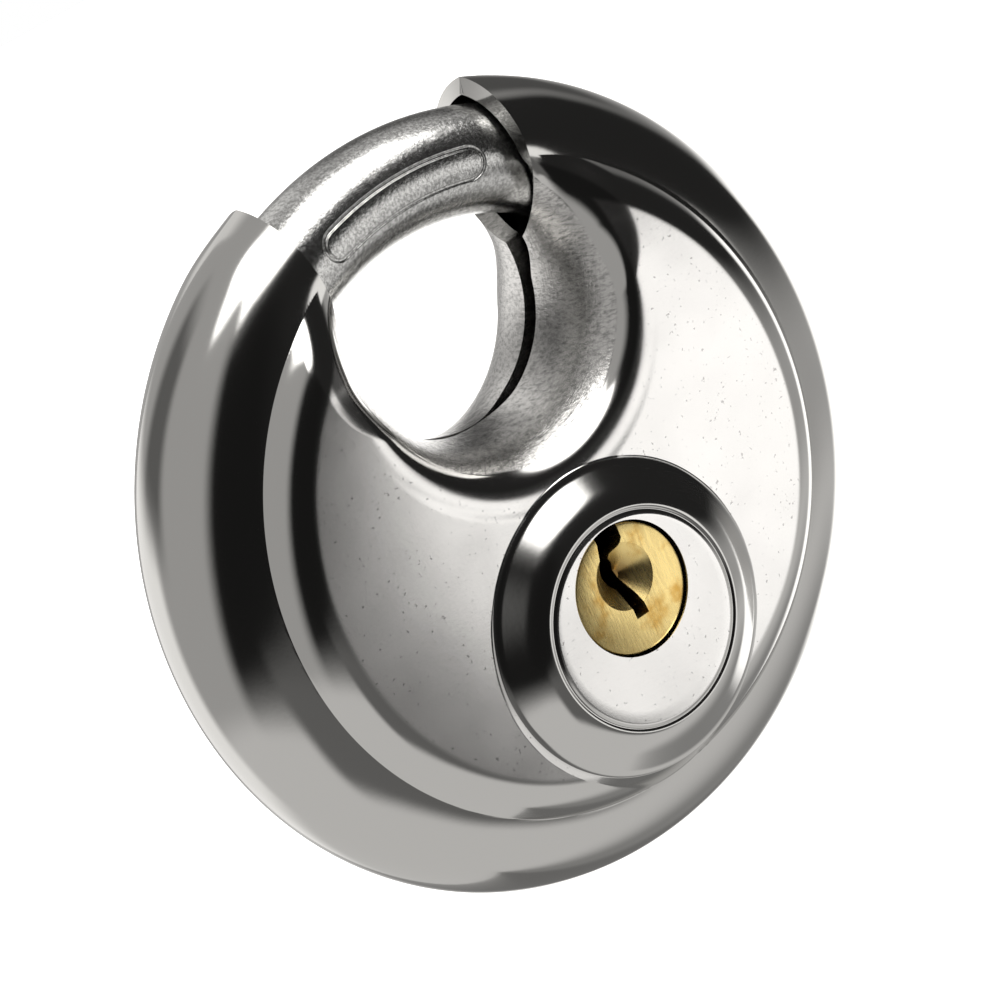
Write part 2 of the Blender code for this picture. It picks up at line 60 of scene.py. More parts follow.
# ---------------------------------------------------------------- front shell
# Half of the lock's case, pressed from 1.5 mm stainless sheet: a slightly domed face, a step
# down to a round rim, a flared hole for the staple and a raised boss round the cylinder. The
# rim is mirror polished, the face is brushed, and the halves are welded at the edge.
MM = 0.001
DISC_R, SHEET = 35, 1.5
DISC_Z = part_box("front_shell")[0].z + DISC_R * MM
OPENING, CUT_TURN = 20.7, 83.3                      # degrees from the top to the cut ends
FACE, CREASE_R = 10.5, 28                           # crown of the face, and its outer crease
DOME, DOME_FALL = 0.0007, 1.1e-6
SHOULDER_DROP, SHOULDER_WIDE, SHOULDER_CURVE = 2.075, 3.7, 2.2
RIM_MIDDLE, RIM_HIGH = 26, 7.385
HOLE_UP, HOLE_R, LIP_R, LIP_HIGH = 16.5, 10.58, 16.2, 10.55
TUBE_R, TUBE_HIGH, TUBE_SINK, TUBE_SPREAD = 15, 8.8, 1.9, 0.976
TUBE_MOUTH_HIGH, TUBE_LONG = 6.9, 6.5
CUT_X, CUT_Y, CUT_RUN_X, CUT_RUN_Y = 10.51, 17.73, 1.86, 15.01
BOSS_DOWN, BOSS_R, BOSS_FOOT, BOSS_TOP = 12.4, 8.83, 13.6, 13.0
KEY_DOWN, KEY_HOLE_R = 9.46, 5.8


def soft_min(a, b, width):
    share = np.clip(0.5 + 0.5 * (b - a) / width, 0, 1)
    return b + (a - b) * share - width * share * (1 - share)


def soft_max(a, b, width):
    return -soft_min(-a, -b, width)


def eased(share):
    share = np.clip(share, 0, 1)
    return share * share * (3 - 2 * share)


def face_rise(radius):
    """Slightly domed face, its rounded shoulder, the crease and the round rim."""
    face = FACE - DOME * radius ** 2 - DOME_FALL * radius ** 4
    rounding = 1 - np.clip((CREASE_R - radius) / SHOULDER_WIDE, 0, 1)
    drop = SHOULDER_DROP * rounding ** SHOULDER_CURVE
    out = np.clip((radius - RIM_MIDDLE) / (DISC_R - RIM_MIDDLE), 0, 1)
    return np.where(radius < CREASE_R, face - drop, RIM_HIGH * np.sqrt(1 - out ** 2))


def tube_rise(radius, from_hole):
    """Section at the cut ends, where the sheet closes round the bar like a tube."""
    out = np.clip((radius - CREASE_R) / (DISC_R - CREASE_R), 0, 1)
    inward = np.clip((TUBE_R - from_hole) / (TUBE_R - HOLE_R), 0, 1)
    outer = np.maximum(TUBE_HIGH * np.sqrt(1 - (TUBE_SPREAD * out) ** 2) - TUBE_SINK, 0)
    return soft_min(outer, TUBE_MOUTH_HIGH * np.sqrt(1 - inward ** 2), 0.3)


def near_cut(x, y):
    """One along the cut ends, nought beyond the length that closes round the bar."""
    along = np.clip((y - CUT_Y) / CUT_RUN_Y, 0, 1)
    across, above = np.abs(x) - CUT_X - CUT_RUN_X * along, y - CUT_Y - CUT_RUN_Y * along
    return 1 - eased(np.hypot(across, above) / TUBE_LONG)


def lip_rise(radius):
    """Flare of the hole, then a climb that leaves the face to itself."""
    inward = np.clip((LIP_R - radius) / (LIP_R - HOLE_R), 0, 1)
    curve = LIP_HIGH * np.sqrt(1 - inward ** 2)
    return np.where(radius < LIP_R, curve, LIP_HIGH + 0.3 * (radius - LIP_R) ** 2)


def plain_rise(x, y):
    """Height of the pressing above the weld seam, without its boss."""
    radius = np.hypot(x, y)
    from_hole = np.hypot(x, y - HOLE_UP)
    rise = soft_min(face_rise(radius), lip_rise(from_hole), 0.45)
    return rise + near_cut(x, y) * (tube_rise(radius, from_hole) - rise)


def boss_rise(radius):
    """Flat top, then a skirt that steepens, runs straight and flares out at its foot."""
    part = np.linspace(0, 1, 400)
    steepness = (0.12 + 0.88 * eased(part / 0.60)) * (1 - 0.75 * eased((part - 0.86) / 0.14))
    fall = np.concatenate([[0], np.cumsum((steepness[1:] + steepness[:-1]) / 2)])
    skirt = BOSS_TOP - (BOSS_TOP - FACE) * np.interp(
        (radius - BOSS_R) / (BOSS_FOOT - BOSS_R), part, fall / fall[-1])
    groove_deep, groove_out, groove_wide = 0.15, 0.42, 0.24
    skirt = skirt - groove_deep * np.exp(-((radius - BOSS_R - groove_out) / groove_wide) ** 2)
    return np.where(radius > BOSS_FOOT, FACE - 1.6 * (radius - BOSS_FOOT), skirt)


def boss_and_face(x, y):
    return soft_max(plain_rise(x, y), boss_rise(np.hypot(x, y + BOSS_DOWN)), 0.12)


def grid_normals(points):
    normal = np.cross(np.gradient(points, axis=0), np.gradient(points, axis=1))
    normal /= np.linalg.norm(normal, axis=-1, keepdims=True) + 1e-12
    return normal if np.median(normal[..., 2]) > 0 else -normal


def even_out(points, normals, count, bend_weight, last):
    """Points along each line spaced by length, closer together where the sheet bends."""
    step = np.linalg.norm(np.diff(points, axis=1), axis=-1)
    bend = np.linalg.norm(np.diff(normals, axis=1), axis=-1)
    travel = np.cumsum(step + bend_weight * bend, axis=1)
    travel = np.concatenate([np.zeros((len(points), 1)), travel], axis=1)
    new_points = np.zeros((len(points), count, 3))
    new_normals = np.zeros((len(points), count, 3))
    for line in range(len(points)):
        stops = np.linspace(0, travel[line, last[line]], count)
        for k in range(3):
            new_points[line, :, k] = np.interp(stops, travel[line], points[line, :, k])
            new_normals[line, :, k] = np.interp(stops, travel[line], normals[line, :, k])
    new_normals /= np.linalg.norm(new_normals, axis=-1, keepdims=True)
    return new_points, new_normals


def pressed_sheet(mouth, lines=330, across=180, fine=2400):
    """Lines from the weld seam to the hole, fanned from one cut end round to the other."""
    share = np.linspace(0, 1, lines)
    rim_turn = np.radians(OPENING + share * (360 - 2 * OPENING))
    hole_turn = np.radians(CUT_TURN + share * (360 - 2 * CUT_TURN))
    start = np.stack([DISC_R * np.sin(rim_turn), DISC_R * np.cos(rim_turn)], 1)
    end = np.stack([HOLE_R * np.sin(hole_turn), HOLE_UP + HOLE_R * np.cos(hole_turn)], 1)
    along = (1 - np.cos(np.pi * np.linspace(0, 1, fine))) / 2
    plan = start[:, None] + along[None, :, None] * (end - start)[:, None]
    rise = plain_rise(plan[..., 0], plan[..., 1])
    rise[:, 0] = rise[:, -1] = 0.0
    points = np.concatenate([plan, rise[..., None]], axis=-1)
    normals = grid_normals(points)
    at_cut = near_cut(start[:, 0], start[:, 1])[:, None]
    outward = np.stack([np.sin(rim_turn), np.cos(rim_turn), 0 * rim_turn], 1)
    normals[:, 0] = outward + at_cut * (normals[:, 3] - outward)
    normals[:, -1] = -np.stack([np.sin(hole_turn), np.cos(hole_turn), 0 * hole_turn], 1)
    from_foot = np.abs(share - 0.5)
    slit_foot, slit_side = 0.15, 0.72
    slit = slit_foot + slit_side * eased(from_foot / 0.14)
    slit = slit + mouth * eased((from_foot - 0.40) / 0.10)
    at_hole = np.arange(fine) > fine / 2
    last = [int(np.argmax(at_hole & (rise[k] < slit[k]))) for k in range(lines)]
    return even_out(points, normals, across, bend_weight=2.2, last=last)


BOSS_PATCH_R, BOSS_CUTOUT_R = 15.9, 15.2


def boss_sheet(around=288):
    """Rings from the plug's hole out over the flat, the edge and the skirt to the face."""
    turn = np.linspace(0, 2 * np.pi, around + 1)
    facing = np.stack([np.sin(turn), np.cos(turn)], 1)
    hole = facing * KEY_HOLE_R + [0, -KEY_DOWN]
    rings = []
    for part in np.linspace(0, 1, 9)[:-1]:
        ease = part ** 1.5
        rings.append(hole + ease * (facing * (BOSS_R - 0.05) + [0, -BOSS_DOWN] - hole))
    radii = [BOSS_R - 0.05, BOSS_R - 0.02, BOSS_R + 0.02, BOSS_R + 0.06]
    radii += list(np.linspace(BOSS_R + 0.12, BOSS_R + 0.75, 14)[:-1])
    radii += list(np.linspace(BOSS_R + 0.75, BOSS_PATCH_R, 72))
    for radius in radii:
        rings.append(facing * radius + [0, -BOSS_DOWN])
    plan = np.stack(rings, 1)
    rise = boss_and_face(plan[..., 0], plan[..., 1])
    small = 0.01
    slope_x = (boss_and_face(plan[..., 0] + small, plan[..., 1])
               - boss_and_face(plan[..., 0] - small, plan[..., 1])) / (2 * small)
    slope_y = (boss_and_face(plan[..., 0], plan[..., 1] + small)
               - boss_and_face(plan[..., 0], plan[..., 1] - small)) / (2 * small)
    normal = np.stack([-slope_x, -slope_y, np.ones_like(rise)], -1)
    normal /= np.linalg.norm(normal, axis=-1, keepdims=True)
    from_boss = np.hypot(plan[..., 0], plan[..., 1] + BOSS_DOWN)
    lift = 0.004 - 0.016 * np.clip((from_boss - BOSS_PATCH_R + 0.4) / 0.4, 0, 1)
    return np.concatenate([plan, (rise + lift)[..., None]], -1), normal


def two_skins(points, normals, thick, keep=None, closed_round=False):
    """Outer and inner skins of one sheet and the walls along its free edges."""
    lines, across = points.shape[:2]
    outer = points.reshape(-1, 3)
    inner = (points - thick * normals).reshape(-1, 3)
    verts = np.concatenate([outer, inner])
    hints = np.concatenate([normals.reshape(-1, 3), -normals.reshape(-1, 3)])
    index = np.arange(lines * across).reshape(lines, across)
    if closed_round:
        index[-1] = index[0]
    a, b = index[:-1, :-1], index[1:, :-1]
    c, d = index[1:, 1:], index[:-1, 1:]
    quads = np.stack([a, b, c, d], -1).reshape(-1, 4)
    one, two, _, four = outer[quads[len(quads) // 2]]
    if np.dot(np.cross(two - one, four - one), hints[quads[len(quads) // 2, 0]]) < 0:
        quads = quads[:, ::-1]
    if keep is not None:
        inside = keep(outer[:, 0], outer[:, 1])
        quads = quads[inside[quads].any(axis=1)]
    pairs = np.concatenate([quads[:, [0, 1]], quads[:, [1, 2]], quads[:, [2, 3]], quads[:, [3, 0]]])
    code = pairs.min(1).astype(np.int64) * len(outer) + pairs.max(1)
    _, where, count = np.unique(code, return_index=True, return_counts=True)
    free = pairs[where[count == 1]]
    size = len(outer)
    walls = np.stack([free[:, 1], free[:, 0], free[:, 0] + size, free[:, 1] + size], -1)
    faces = np.concatenate([quads, quads[:, ::-1] + size, walls])
    kinds = np.concatenate([np.zeros(len(quads)), np.ones(len(quads)), np.full(len(walls), 2)])
    return verts, hints, faces, kinds


def in_scene(name, mesh):
    part = bpy.data.objects.new(name, mesh)
    bpy.context.scene.collection.objects.link(part)
    return part


def shell_mesh(name, sheets, to_world, flip):
    """One mesh from several sheets; each corner keeps the pressing's own smooth normal."""
    verts, hints, faces, kinds, base = [], [], [], [], 0
    for sheet_verts, sheet_hints, sheet_faces, sheet_kinds in sheets:
        verts.append(sheet_verts)
        hints.append(sheet_hints)
        faces.append(sheet_faces + base)
        kinds.append(sheet_kinds)
        base += len(sheet_verts)
    verts, hints = np.concatenate(verts), np.concatenate(hints)
    faces, kinds = np.concatenate(faces), np.concatenate(kinds)
    used, faces = np.unique(faces, return_inverse=True)
    verts, hints, faces = verts[used], hints[used], faces.reshape(-1, 4)
    if flip:
        faces = faces[:, ::-1]
    mesh = bpy.data.meshes.new(name)
    places = to_world(verts) * MM + np.array([0, 0, DISC_Z])
    mesh.from_pydata(places.tolist(), [], faces.tolist())
    made = to_world(hints)
    corner_normals = made[faces.reshape(-1)].copy()
    wall = np.repeat(kinds == 2, 4)
    flat = np.zeros(len(mesh.polygons) * 3)
    mesh.polygons.foreach_get("normal", flat)
    corner_normals[wall] = np.repeat(flat.reshape(-1, 3), 4, axis=0)[wall]
    mesh.polygons.foreach_set("use_smooth", [True] * len(mesh.polygons))
    mesh.normals_split_custom_set([tuple(n) for n in corner_normals])
    return in_scene(name, mesh)


def facing_front(p):
    return np.stack([p[..., 0], -p[..., 2], p[..., 1]], -1)


def facing_back(p):
    return np.stack([p[..., 0], p[..., 2], p[..., 1]], -1)


def new_node(tree, kind, values=(), **options):
    """Shader node with its options and its unlinked or linked inputs set by position."""
    node = tree.nodes.new(kind)
    for key, value in options.items():
        setattr(node, key, value)
    for slot, value in zip(node.inputs, values):
        if value is None:
            continue
        if isinstance(value, bpy.types.NodeSocket):
            tree.links.new(value, slot)
        else:
            slot.default_value = value
    return node


def sums(tree, operation, *values):
    return new_node(tree, "ShaderNodeMath", values, operation=operation).outputs[0]


def step_up(tree, value, low, high):
    """Nought below low, one above high, eased between."""
    ramp = new_node(tree, "ShaderNodeMapRange", (value, low, high, 0.0, 1.0),
                    interpolation_type='SMOOTHSTEP')
    return ramp.outputs[0]


def speckle(tree, where, scale, detail=3.0, rough=0.6):
    noise = new_node(tree, "ShaderNodeTexNoise", noise_dimensions='3D')
    tree.links.new(where, noise.inputs["Vector"])
    noise.inputs["Scale"].default_value = scale
    noise.inputs["Detail"].default_value = detail
    noise.inputs["Roughness"].default_value = rough
    return noise.outputs["Fac"]


def stretched(tree, where, turn, scale):
    """The piece's own coordinates turned and stretched, for marks that run one way."""
    mapping = new_node(tree, "ShaderNodeMapping")
    tree.links.new(where, mapping.inputs["Vector"])
    mapping.inputs["Rotation"].default_value = turn
    mapping.inputs["Scale"].default_value = scale
    return mapping.outputs["Vector"]


def blend(tree, share, one, two):
    mixer = new_node(tree, "ShaderNodeMix", data_type='RGBA')
    for slot, value in ((0, share), (6, one), (7, two)):
        if isinstance(value, bpy.types.NodeSocket):
            tree.links.new(value, mixer.inputs[slot])
        else:
            mixer.inputs[slot].default_value = value if slot == 0 else (*value, 1.0)
    return mixer.outputs[2]


def metal(name):
    made = bpy.data.materials.new(name)
    made.use_nodes = True
    tree = made.node_tree
    shader = tree.nodes["Principled BSDF"]
    shader.inputs["Metallic"].default_value = 1.0
    where = new_node(tree, "ShaderNodeTexCoord").outputs["Object"]
    return made, tree, shader, where


def raise_marks(tree, shader, heights):
    """Chain of bumps from (height, strength, distance in metres), coarsest first."""
    last = None
    for height, strength, distance in heights:
        bump = new_node(tree, "ShaderNodeBump")
        bump.inputs["Strength"].default_value = strength
        bump.inputs["Distance"].default_value = distance
        tree.links.new(height, bump.inputs["Height"])
        if last is not None:
            tree.links.new(last, bump.inputs["Normal"])
        last = bump.outputs["Normal"]
    tree.links.new(last, shader.inputs["Normal"])


def distance_from(tree, across, up, height):
    """Distance in the plane of the disc from a point at a height on its middle line."""
    above = sums(tree, 'POWER', sums(tree, 'SUBTRACT', up, height), 2.0)
    return sums(tree, 'SQRT', sums(tree, 'ADD', sums(tree, 'MULTIPLY', across, across), above))


def polished_shell_metal(name, side):
    """Mirror rim, brushed face and boss top, and a ground lip, told apart by place."""
    made, tree, shader, where = metal(name)
    axes = new_node(tree, "ShaderNodeSeparateXYZ", (where,)).outputs
    across, depth, up = axes[0], sums(tree, 'MULTIPLY', axes[1], -side), axes[2]
    from_middle = distance_from(tree, across, up, DISC_Z)
    from_hole = distance_from(tree, across, up, DISC_Z + HOLE_UP * MM)
    from_boss = distance_from(tree, across, up, DISC_Z - BOSS_DOWN * MM)
    on_face = sums(tree, 'SUBTRACT', 1.0, step_up(tree, from_middle, 24.4 * MM, 24.9 * MM))
    lip = sums(tree, 'SUBTRACT', 1.0, step_up(tree, from_hole, 13.2 * MM, 13.4 * MM))
    off_lip = step_up(tree, from_hole, 14.6 * MM, 15.0 * MM)
    off_boss = step_up(tree, from_boss, 13.3 * MM, 13.9 * MM)
    brushed = sums(tree, 'MULTIPLY', on_face, off_lip)
    if side > 0:
        boss_top = step_up(tree, depth, 12.93 * MM, 12.97 * MM)
        brushed = sums(tree, 'MAXIMUM', sums(tree, 'MULTIPLY', brushed, off_boss), boss_top)
    brushing = stretched(tree, where, (0, 0.6, 0), (900, 900, 9000))
    brush_lines = speckle(tree, brushing, 1.0, 4, 0.7)
    broad = speckle(tree, where, 140.0, 2, 0.5)
    pits = speckle(tree, where, 2600.0, 2, 0.5)
    deep_pits = step_up(tree, pits, 0.66, 0.74)
    ring_marks = new_node(tree, "ShaderNodeCombineXYZ",
                          (sums(tree, 'MULTIPLY', depth, 5200.0),
                           sums(tree, 'MULTIPLY', across, 260.0),
                           sums(tree, 'MULTIPLY', up, 260.0))).outputs[0]
    ground = speckle(tree, ring_marks, 1.0, 3, 0.6)
    ground_amount = sums(tree, 'MULTIPLY', lip, sums(tree, 'SUBTRACT', ground, 0.5))
    roughness = sums(tree, 'ADD', 0.10, sums(tree, 'MULTIPLY', brushed, 0.09))
    roughness = sums(tree, 'ADD', roughness, sums(tree, 'MULTIPLY', lip, 0.10))
    roughness = sums(tree, 'ADD', roughness,
                     sums(tree, 'MULTIPLY', brushed, sums(tree, 'MULTIPLY',
                          sums(tree, 'SUBTRACT', broad, 0.5), 0.18)))
    tree.links.new(roughness, shader.inputs["Roughness"])
    mirror_steel, brushed_steel = (0.60, 0.595, 0.58), (0.88, 0.87, 0.855)
    ground_steel, grit_dark, pit_dark = (0.68, 0.67, 0.655), (0.30, 0.30, 0.29), (0.16, 0.155, 0.15)
    colour = blend(tree, brushed, mirror_steel, brushed_steel)
    grinding = stretched(tree, where, (0, 0.5, 0), (1500, 1500, 4000))
    grit = speckle(tree, grinding, 1.0, 4, 0.7)
    colour = blend(tree, lip, colour, ground_steel)
    gritty = sums(tree, 'MULTIPLY', lip, step_up(tree, grit, 0.40, 0.75))
    colour = blend(tree, gritty, colour, grit_dark)
    dulled = sums(tree, 'MULTIPLY', deep_pits, sums(tree, 'MULTIPLY', brushed, 0.5))
    tree.links.new(blend(tree, dulled, colour, pit_dark), shader.inputs["Base Color"])
    lines_on_face = sums(tree, 'MULTIPLY', brush_lines, brushed)
    grit_on_lip = sums(tree, 'MULTIPLY', lip, grit)
    wavy = speckle(tree, where, 75.0, 1, 0.4)
    raise_marks(tree, shader, [(wavy, 0.30, 0.30 * MM), (broad, 0.10, 0.12 * MM),
                               (pits, 0.10, 0.01 * MM), (lines_on_face, 0.14, 0.02 * MM),
                               (ground_amount, 0.35, 0.05 * MM), (grit_on_lip, 0.50, 0.08 * MM)])
    return made


front_points, front_normals = pressed_sheet(1.1)
boss_points, boss_normals = boss_sheet()
front_base = two_skins(front_points, front_normals, SHEET,
                       keep=lambda x, y: np.hypot(x, y + BOSS_DOWN) > BOSS_CUTOUT_R)
front_boss = two_skins(boss_points, boss_normals, SHEET, closed_round=True)
front_shell = shell_mesh("pressed_front_shell", [front_base, front_boss], facing_front, False)
front_shell.data.materials.append(polished_shell_metal("front_stainless", 1))
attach(front_shell, "case")
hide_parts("front_shell")

# ---------------------------------------------------------------- back shell
# The other half of the case, pressed from the same sheet in the same tool but without the
# boss, and welded to the front along the widest circle before the edge is polished.
back_shell = shell_mesh("pressed_back_shell", [two_skins(*pressed_sheet(0.0), SHEET)],
                        facing_back, True)
back_shell.data.materials.append(polished_shell_metal("back_stainless", -1))
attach(back_shell, "case")
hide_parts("back_shell")

# ---------------------------------------------------------------- shackle
# Curved bar of hardened steel, bent to the disc's circle and ground to a satin grain. An oval
# outline is pressed into its front, and the hidden tail has a flat milled for two rivets.
BAR, BEND = 4.7, 28.0
FREE_END, TAIL_END = 36.5, -115.0
TIP = 0.85
LAP_MIDDLE, LAP_HALF, LAP_DEPTH = -107.0, 5.75, 2.6
OVAL_STRAIGHT, OVAL_R, OVAL_DEEP, OVAL_LINE = 7.35, 1.38, 0.16, 0.17


def oval_groove(turn, round_bar):
    """Depth of the pressed outline at a turn along the bend and an angle round the bar."""
    along = np.radians(turn + 0.3) * BEND
    across = np.radians(round_bar - 91) * BAR
    past_straight = np.clip(np.abs(along) - OVAL_STRAIGHT, 0, None)
    from_outline = np.hypot(past_straight, across) - OVAL_R
    return OVAL_DEEP * np.exp(-(from_outline / OVAL_LINE) ** 4)


def shackle_mesh():
    tip_turn = math.degrees(TIP / BEND)
    turns = list(np.linspace(TAIL_END, -24, 100)[:-1]) + list(np.linspace(-24, 24, 420)[:-1])
    turns += list(np.linspace(24, FREE_END - tip_turn, 24))
    scales = [1.0] * len(turns)
    for k in range(1, 7):
        part = k / 6
        turns.append(FREE_END - tip_turn * (1 - math.sin(part * math.pi / 2)))
        scales.append(1 - 0.16 * (1 - math.cos(part * math.pi / 2)))
    round_bar = np.concatenate([np.linspace(0, 360, 241)[:-1], np.linspace(66, 116, 90)])
    round_bar = np.unique(np.round(round_bar, 6))
    turn, angle = np.meshgrid(turns, round_bar, indexing='ij')
    size = BAR * np.array(scales)[:, None] - oval_groove(turn, angle)
    out = size * np.cos(np.radians(angle))
    front = size * np.sin(np.radians(angle))
    lap = np.abs(np.radians(turn - LAP_MIDDLE) * BEND) < LAP_HALF
    front = np.where(lap, np.maximum(front, -LAP_DEPTH), front)
    ring = BEND + out
    points = np.stack([ring * np.sin(np.radians(turn)), -front,
                       ring * np.cos(np.radians(turn))], -1)
    rows, columns = turn.shape
    verts = points.reshape(-1, 3) * MM + np.array([0, 0, DISC_Z])
    index = np.arange(rows * columns).reshape(rows, columns)
    nxt = np.roll(index, -1, axis=1)
    quads = np.stack([nxt[:-1], nxt[1:], index[1:], index[:-1]], -1).reshape(-1, 4)
    faces = quads.tolist() + [index[0][::-1].tolist(), index[-1].tolist()]
    mesh = bpy.data.meshes.new("curved_shackle")
    mesh.from_pydata(verts.tolist(), [], faces)
    mesh.shade_smooth()
    mesh.set_sharp_from_angle(angle=math.radians(38))
    return in_scene("curved_shackle", mesh)


def shackle_metal():
    """Satin ground steel: a fine grain, a broad unevenness and small slanting marks."""
    made, tree, shader, where = metal("ground_hardened_steel")
    grain = speckle(tree, where, 3200.0, 3, 0.7)
    broad = speckle(tree, where, 300.0, 3, 0.6)
    marks = speckle(tree, stretched(tree, where, (0, 0.5, 0), (400, 2500, 400)), 1.0, 3, 0.65)
    roughness = sums(tree, 'ADD', 0.12, sums(tree, 'MULTIPLY', grain, 0.14))
    roughness = sums(tree, 'ADD', roughness, sums(tree, 'MULTIPLY', broad, 0.08))
    tree.links.new(roughness, shader.inputs["Roughness"])
    dark_grain, bright_grain = (0.40, 0.40, 0.39), (0.80, 0.80, 0.79)
    colour = blend(tree, step_up(tree, grain, 0.30, 0.70), dark_grain, bright_grain)
    tree.links.new(colour, shader.inputs["Base Color"])
    raise_marks(tree, shader, [(broad, 0.35, 0.14 * MM), (grain, 0.60, 0.03 * MM),
                               (marks, 0.30, 0.03 * MM)])
    return made


shackle = shackle_mesh()
shackle.data.materials.append(shackle_metal())
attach(shackle, "swinging_shackle")
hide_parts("shackle")

# ---------------------------------------------------------------- plug
# Turned brass plug of the pin cylinder. Its face sits just inside the boss, with a keyway
# milled along it, a shallow cone that guides the key in and five drilled pin chambers.
PLUG_R, PLUG_FACE, CONE_R = 5.6, 12.7, 2.9
CONE_UP, CONE_DEPTH = 1.15, 1.7
PIN_PLAY, PIN_TRAVEL, BELOW_PLUG = 0.1, 1.3, 1.0


def turned_solid(name, outline, steps, middle):
    """Solid turned about the front-to-back axis from (radius, depth) points in mm."""
    mesh = bpy.data.meshes.new(name)
    shape = bmesh.new()
    rings = []
    for radius, depth in outline:
        if radius < 1e-6:
            rings.append([shape.verts.new((middle[0], -depth * MM, middle[1]))])
            continue
        ring = []
        for k in range(steps):
            turn = 2 * math.pi * k / steps
            ring.append(shape.verts.new((middle[0] + radius * MM * math.sin(turn), -depth * MM,
                                         middle[1] + radius * MM * math.cos(turn))))
        rings.append(ring)
    for one, two in zip(rings, rings[1:]):
        for k in range(steps):
            n = (k + 1) % steps
            if len(one) == 1:
                shape.faces.new((one[0], two[k], two[n]))
            elif len(two) == 1:
                shape.faces.new((one[k], two[0], one[n]))
            else:
                shape.faces.new((one[k], two[k], two[n], one[n]))
    bmesh.ops.recalc_face_normals(shape, faces=shape.faces)
    shape.to_mesh(mesh)
    shape.free()
    mesh.shade_smooth()
    mesh.set_sharp_from_angle(angle=math.radians(28))
    return in_scene(name, mesh)


def plate_between(name, outline, near, far, middle):
    """Straight-sided solid from a closed (x, up) outline in mm between two depths."""
    mesh = bpy.data.meshes.new(name)
    shape = bmesh.new()
    loops = [[shape.verts.new((middle[0] + x * MM, -depth * MM, middle[1] + up * MM))
              for x, up in outline] for depth in (near, far)]
    count = len(outline)
    for k in range(count):
        n = (k + 1) % count
        shape.faces.new((loops[0][k], loops[0][n], loops[1][n], loops[1][k]))
    shape.faces.new(loops[0][::-1])
    shape.faces.new(loops[1])
    bmesh.ops.recalc_face_normals(shape, faces=shape.faces)
    shape.to_mesh(mesh)
    shape.free()
    return in_scene(name, mesh)


def cut_away(target, tools):
    """Subtract the tools from the target for good, close pinholes and drop the tools."""
    for tool in tools:
        step = target.modifiers.new("cut", 'BOOLEAN')
        step.operation, step.solver, step.object = 'DIFFERENCE', 'EXACT', tool
    bpy.context.view_layer.update()
    seen = target.evaluated_get(bpy.context.evaluated_depsgraph_get())
    mesh = bpy.data.meshes.new_from_object(seen)
    target.modifiers.clear()
    target.data = mesh
    for tool in tools:
        bpy.data.objects.remove(tool, do_unlink=True)
    shape = bmesh.new()
    shape.from_mesh(mesh)
    bmesh.ops.remove_doubles(shape, verts=shape.verts, dist=0.002 * MM)
    open_edges = [edge for edge in shape.edges if len(edge.link_faces) == 1]
    filled = bmesh.ops.holes_fill(shape, edges=open_edges, sides=0)["faces"]
    bmesh.ops.recalc_face_normals(shape, faces=filled)
    shape.to_mesh(mesh)
    shape.free()
    mesh.shade_smooth()
    mesh.set_sharp_from_angle(angle=math.radians(28))


def upright_bore(name, outline, low, high):
    """Upright tool for a drilled hole, from a ring of (x, y) places in metres."""
    mesh = bpy.data.meshes.new(name)
    shape = bmesh.new()
    loops = [[shape.verts.new((x, y, z)) for x, y in outline] for z in (low, high)]
    for k in range(len(outline)):
        n = (k + 1) % len(outline)
        shape.faces.new((loops[0][k], loops[0][n], loops[1][n], loops[1][k]))
    shape.faces.new(loops[0][::-1])
    shape.faces.new(loops[1])
    shape.to_mesh(mesh)
    shape.free()
    return in_scene(name, mesh)


key_middle = (0.0, DISC_Z - KEY_DOWN * MM)
plug = turned_solid("brass_plug", [(0, PLUG_FACE), (PLUG_R - 0.22, PLUG_FACE),
                                   (PLUG_R - 0.08, PLUG_FACE - 0.04), (PLUG_R, PLUG_FACE - 0.14),
                                   (PLUG_R, PLUG_FACE - 1.4), (PLUG_R, -1.5), (2.2, -1.5),
                                   (2.2, -2.6), (0, -2.6)], 120, key_middle)
cone = turned_solid("cone", [(0, PLUG_FACE + 1), (CONE_R, PLUG_FACE + 1),
                             (CONE_R, PLUG_FACE - 0.05), (0.5, PLUG_FACE - CONE_DEPTH),
                             (0, PLUG_FACE - CONE_DEPTH)], 96,
                    (0.0, key_middle[1] + CONE_UP * MM))
keyway_outline = [(-1.30, 6.6), (-1.30, 4.8), (-1.60, 3.7), (-1.82, 2.8), (-1.70, 1.9),
                  (-1.20, 0.9), (-0.60, 0.1), (-0.55, -2.7), (0.80, -2.7), (0.68, -0.8),
                  (0.20, 1.2), (-0.05, 2.5), (-0.45, 3.1), (-0.30, 3.45), (0.70, 3.7),
                  (1.20, 4.3), (1.25, 6.6)]
keyway = plate_between("keyway", keyway_outline, PLUG_FACE + 1, -0.6, key_middle)
chambers = []
for number in range(1, 6):
    pin_low, pin_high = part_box("key_pin_%d" % number)
    chamber_x = (pin_low.x + pin_high.x) / 2
    chamber_y = (pin_low.y + pin_high.y) / 2
    bore = (pin_high.x - pin_low.x) / 2 + PIN_PLAY * MM
    sides = [2 * math.pi * k / 24 for k in range(24)]
    chambers.append(upright_bore("chamber_%d" % number,
                                 [(chamber_x + bore * math.cos(turn),
                                   chamber_y + bore * math.sin(turn)) for turn in sides],
                                 pin_low.z - BELOW_PLUG * MM, pin_high.z + PIN_TRAVEL * MM))
cut_away(plug, [cone, keyway] + chambers)


